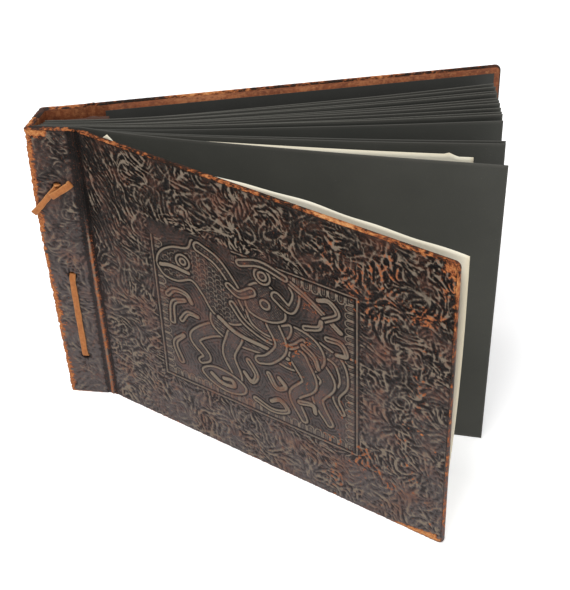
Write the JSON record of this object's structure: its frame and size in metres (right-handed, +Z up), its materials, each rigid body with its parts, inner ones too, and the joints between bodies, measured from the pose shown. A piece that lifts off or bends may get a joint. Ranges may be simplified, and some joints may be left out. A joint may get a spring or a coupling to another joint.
{
  "type": "scrapbook album",
  "caption": "Oblong scrapbook album with embossed leather-covered boards, a laced binding strip and black leaves, standing half open.",
  "frame": {"origin": "middle of the footprint, on the ground, with the album standing on its bottom edges", "axes": "+Z up; +X along the back cover from the spine to its fore edge; +Y out through the back cover"},
  "size_m": [0.3249, 0.219, 0.229],
  "materials": {
    "cover_leather": "embossed, crinkled, worn semi-gloss",
    "binding_leather": "crinkled, worn semi-gloss with tan rubbed edges",
    "board": "grey-brown bookboard",
    "lining_paper": "matte black paste-down",
    "leaf_paper": "matte faded black paper",
    "cream_paper": "matte aged cream paper",
    "lace_leather": "tan suede-edged thong"
  },
  "bodies": {
    "binding": {"front_strip_board": "board", "front_strip_leather": "binding_leather", "back_strip_board": "board", "back_strip_leather": "binding_leather", "spine_board": "board", "spine_leather": "binding_leather", "leaf_stubs": "leaf_paper", "lace": "lace_leather"},
    "front_cover": {"front_leather": "cover_leather", "front_board": "board", "front_lining": "lining_paper"},
    "back_cover": {"back_leather": "cover_leather", "back_board": "board", "back_lining": "lining_paper"},
    "front_insert": {"front_insert": "cream_paper"},
    "middle_insert": {"middle_insert": "cream_paper"},
    "leaf_01": {"leaf_01": "leaf_paper"},
    "leaf_02": {"leaf_02": "leaf_paper"},
    "leaf_03": {"leaf_03": "leaf_paper"},
    "leaf_04": {"leaf_04": "leaf_paper"},
    "leaf_05": {"leaf_05": "leaf_paper"},
    "leaf_06": {"leaf_06": "leaf_paper"},
    "leaf_07": {"leaf_07": "leaf_paper"},
    "leaf_08": {"leaf_08": "leaf_paper"},
    "leaf_09": {"leaf_09": "leaf_paper"},
    "leaf_10": {"leaf_10": "leaf_paper"},
    "leaf_11": {"leaf_11": "leaf_paper"},
    "leaf_12": {"leaf_12": "leaf_paper"},
    "leaf_13": {"leaf_13": "leaf_paper"},
    "leaf_14": {"leaf_14": "leaf_paper"}
  },
  "joints": [
    {"name": "front_cover_hinge", "type": "hinge", "parent": "binding", "child": "front_cover", "pos_m": [-0.12523, 0.07313, 0], "axis": [0, 0, 1], "range_deg": [-120, 34.2]},
    {"name": "back_cover_hinge", "type": "hinge", "parent": "binding", "child": "back_cover", "pos_m": [-0.11405, 0.10572, 0], "axis": [0, 0, 1], "range_deg": [0, 150]},
    {"name": "front_insert_lift", "type": "slide", "parent": "front_cover", "child": "front_insert", "axis": [0, 0, 1], "range_m": [0, 0.24]},
    {"name": "leaf_01_turn", "type": "hinge", "parent": "binding", "child": "leaf_01", "pos_m": [-0.11365, 0.08832, 0], "axis": [0, 0, 1], "range_deg": [-3, 2]},
    {"name": "leaf_02_turn", "type": "hinge", "parent": "binding", "child": "leaf_02", "pos_m": [-0.11424, 0.08747, 0], "axis": [0, 0, 1], "range_deg": [-7, 3]},
    {"name": "leaf_03_turn", "type": "hinge", "parent": "binding", "child": "leaf_03", "pos_m": [-0.11484, 0.08663, 0], "axis": [0, 0, 1], "range_deg": [-9, 4]},
    {"name": "leaf_04_turn", "type": "hinge", "parent": "binding", "child": "leaf_04", "pos_m": [-0.11543, 0.08578, 0], "axis": [0, 0, 1], "range_deg": [-11, 4]},
    {"name": "leaf_05_turn", "type": "hinge", "parent": "binding", "child": "leaf_05", "pos_m": [-0.11602, 0.08493, 0], "axis": [0, 0, 1], "range_deg": [-13, 5]},
    {"name": "leaf_06_turn", "type": "hinge", "parent": "binding", "child": "leaf_06", "pos_m": [-0.11661, 0.08409, 0], "axis": [0, 0, 1], "range_deg": [-16, 6]},
    {"name": "leaf_07_turn", "type": "hinge", "parent": "binding", "child": "leaf_07", "pos_m": [-0.1172, 0.08324, 0], "axis": [0, 0, 1], "range_deg": [-18, 6]},
    {"name": "leaf_08_turn", "type": "hinge", "parent": "binding", "child": "leaf_08", "pos_m": [-0.1178, 0.0824, 0], "axis": [0, 0, 1], "range_deg": [-21, 7]},
    {"name": "leaf_09_turn", "type": "hinge", "parent": "binding", "child": "leaf_09", "pos_m": [-0.11839, 0.08155, 0], "axis": [0, 0, 1], "range_deg": [-24, 8]},
    {"name": "leaf_10_turn", "type": "hinge", "parent": "binding", "child": "leaf_10", "pos_m": [-0.11898, 0.0807, 0], "axis": [0, 0, 1], "range_deg": [-27, 9]},
    {"name": "leaf_11_turn", "type": "hinge", "parent": "binding", "child": "leaf_11", "pos_m": [-0.11957, 0.07986, 0], "axis": [0, 0, 1], "range_deg": [-30, 9]},
    {"name": "leaf_12_turn", "type": "hinge", "parent": "binding", "child": "leaf_12", "pos_m": [-0.12016, 0.07901, 0], "axis": [0, 0, 1], "range_deg": [-48, 15]},
    {"name": "leaf_13_turn", "type": "hinge", "parent": "binding", "child": "leaf_13", "pos_m": [-0.12076, 0.07817, 0], "axis": [0, 0, 1], "range_deg": [-50, 15]},
    {"name": "leaf_14_turn", "type": "hinge", "parent": "binding", "child": "leaf_14", "pos_m": [-0.12135, 0.07732, 0], "axis": [0, 0, 1], "range_deg": [-71, 21]},
    {"name": "middle_insert_turn", "type": "hinge", "parent": "binding", "child": "middle_insert", "pos_m": [-0.12105, 0.07774, 0], "axis": [0, 0, 1], "range_deg": [-59, 18]}
  ],
  "couplings": [
    {"joint": "leaf_01_turn", "follows": "front_cover_hinge", "ratio": 0.0088},
    {"joint": "leaf_02_turn", "follows": "front_cover_hinge", "ratio": 0.0427},
    {"joint": "leaf_03_turn", "follows": "front_cover_hinge", "ratio": 0.0591},
    {"joint": "leaf_04_turn", "follows": "front_cover_hinge", "ratio": 0.0754},
    {"joint": "leaf_05_turn", "follows": "front_cover_hinge", "ratio": 0.0947},
    {"joint": "leaf_06_turn", "follows": "front_cover_hinge", "ratio": 0.117},
    {"joint": "leaf_07_turn", "follows": "front_cover_hinge", "ratio": 0.1392},
    {"joint": "leaf_08_turn", "follows": "front_cover_hinge", "ratio": 0.1614},
    {"joint": "leaf_09_turn", "follows": "front_cover_hinge", "ratio": 0.1895},
    {"joint": "leaf_10_turn", "follows": "front_cover_hinge", "ratio": 0.2088},
    {"joint": "leaf_11_turn", "follows": "front_cover_hinge", "ratio": 0.2339},
    {"joint": "leaf_12_turn", "follows": "front_cover_hinge", "ratio": 0.3877},
    {"joint": "leaf_13_turn", "follows": "front_cover_hinge", "ratio": 0.4012},
    {"joint": "leaf_14_turn", "follows": "front_cover_hinge", "ratio": 0.5754},
    {"joint": "middle_insert_turn", "follows": "front_cover_hinge", "ratio": 0.4825}
  ]
}
